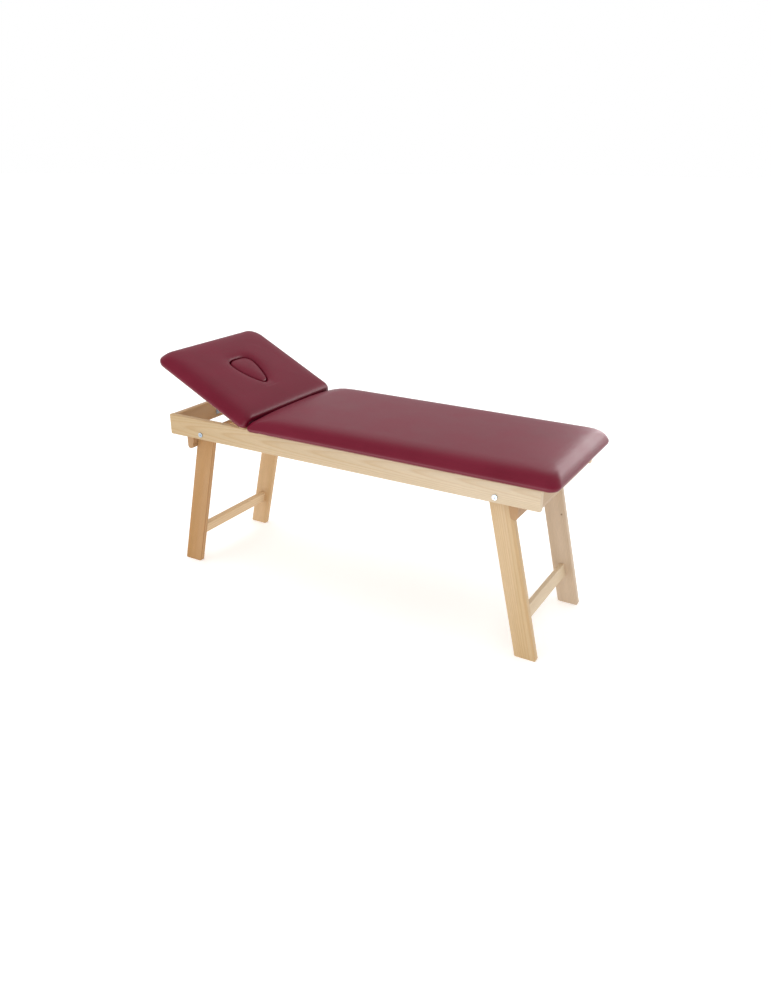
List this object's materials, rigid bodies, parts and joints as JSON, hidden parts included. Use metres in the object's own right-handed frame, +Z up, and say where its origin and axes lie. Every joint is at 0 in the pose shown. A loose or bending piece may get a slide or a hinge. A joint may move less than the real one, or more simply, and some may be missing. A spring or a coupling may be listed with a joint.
{
  "type": "folding massage table",
  "caption": "Folding treatment table: pine frame on splayed folding legs, long padded panel, and a tilting head section with a face hole, plug and stay.",
  "frame": {"origin": "on the floor, under the middle of the table's outline as it stands", "axes": "+X along the table towards the foot end, +Y across it towards the rear side, +Z up"},
  "size_m": [1.8472, 0.658, 1.0101],
  "materials": {
    "pine": "satin clear varnish on straight-grained pine",
    "batten_wood": "satin clear varnish on darker pine",
    "dowel_wood": "plain beech",
    "plywood": "unfinished birch plywood",
    "vinyl": "dark red coated upholstery fabric over foam, semi-gloss",
    "zinc_steel": "bright zinc plate",
    "black_plastic": "matte black moulding"
  },
  "bodies": {
    "frame": {"front_side_rail": "pine", "rear_side_rail": "pine", "head_end_rail": "pine", "foot_end_rail": "pine", "hinge_batten": "batten_wood", "middle_batten": "batten_wood", "head_stop_batten": "batten_wood", "foot_stop_batten": "batten_wood", "corner_dowels": "dowel_wood", "batten_dowels": "dowel_wood", "stop_batten_screws": "zinc_steel", "batten_screws": "zinc_steel", "panel_brackets": "zinc_steel", "panel_bracket_screws": "zinc_steel", "long_board": "plywood", "long_cushion": "vinyl", "leg_bolts": "zinc_steel", "leg_spacers": "black_plastic", "leg_washers": "zinc_steel", "leg_nuts": "zinc_steel", "hinge_leaf_long": "zinc_steel", "hinge_pin": "zinc_steel", "hinge_screws_long": "zinc_steel", "stay_rail_bracket": "zinc_steel", "stay_rail_screws": "zinc_steel", "stay_rail_pin": "zinc_steel"},
    "head_section": {"head_board": "plywood", "head_cushion": "vinyl", "hinge_leaf_head": "zinc_steel", "hinge_screws_head": "zinc_steel", "stay_board_bracket": "zinc_steel", "stay_board_screws": "zinc_steel", "stay_board_pin": "zinc_steel"},
    "face_plug": {"plug_cushion": "vinyl", "plug_board": "plywood"},
    "stay_lower_arm": {"stay_bar": "zinc_steel"},
    "stay_upper_arm": {"stay_channel": "zinc_steel"},
    "stay_clamp": {"clamp_knob": "black_plastic", "clamp_stud": "zinc_steel"},
    "head_legs": {"head_front_leg": "pine", "head_rear_leg": "pine", "head_stretcher": "pine", "head_leg_dowels": "dowel_wood"},
    "foot_legs": {"foot_front_leg": "pine", "foot_rear_leg": "pine", "foot_stretcher": "pine", "foot_leg_dowels": "dowel_wood"}
  },
  "joints": [
    {"name": "head_tilt", "type": "hinge", "parent": "frame", "child": "head_section", "pos_m": [-0.45037, 0, 0.7513], "axis": [0, 1, 0], "range_deg": [-27, 13]},
    {"name": "plug_lift", "type": "slide", "parent": "head_section", "child": "face_plug", "axis": [0.454, 0, 0.891], "range_m": [0, 0.07]},
    {"name": "stay_bar_swing", "type": "hinge", "parent": "frame", "child": "stay_lower_arm", "pos_m": [-0.84537, 0, 0.684], "axis": [0, 1, 0], "range_deg": [-5, 10.3]},
    {"name": "stay_channel_swing", "type": "hinge", "parent": "head_section", "child": "stay_upper_arm", "pos_m": [-0.57227, 0, 0.77638], "axis": [0, 1, 0], "range_deg": [-18.1, 37.6]},
    {"name": "clamp_turn", "type": "hinge", "parent": "stay_upper_arm", "child": "stay_clamp", "pos_m": [-0.72853, 0, 0.72352], "axis": [0, -1, 0], "range_deg": [0, 360]},
    {"name": "head_leg_fold", "type": "hinge", "parent": "frame", "child": "head_legs", "pos_m": [-0.72087, 0, 0.667], "axis": [0, 1, 0], "range_deg": [-102.7, 0]},
    {"name": "foot_leg_fold", "type": "hinge", "parent": "frame", "child": "foot_legs", "pos_m": [0.68613, 0, 0.667], "axis": [0, 1, 0], "range_deg": [0, 102.7]}
  ],
  "couplings": [
    {"joint": "stay_bar_swing", "follows": "head_tilt", "ratio": -0.37267},
    {"joint": "stay_channel_swing", "follows": "head_tilt", "ratio": -1.3727}
  ]
}
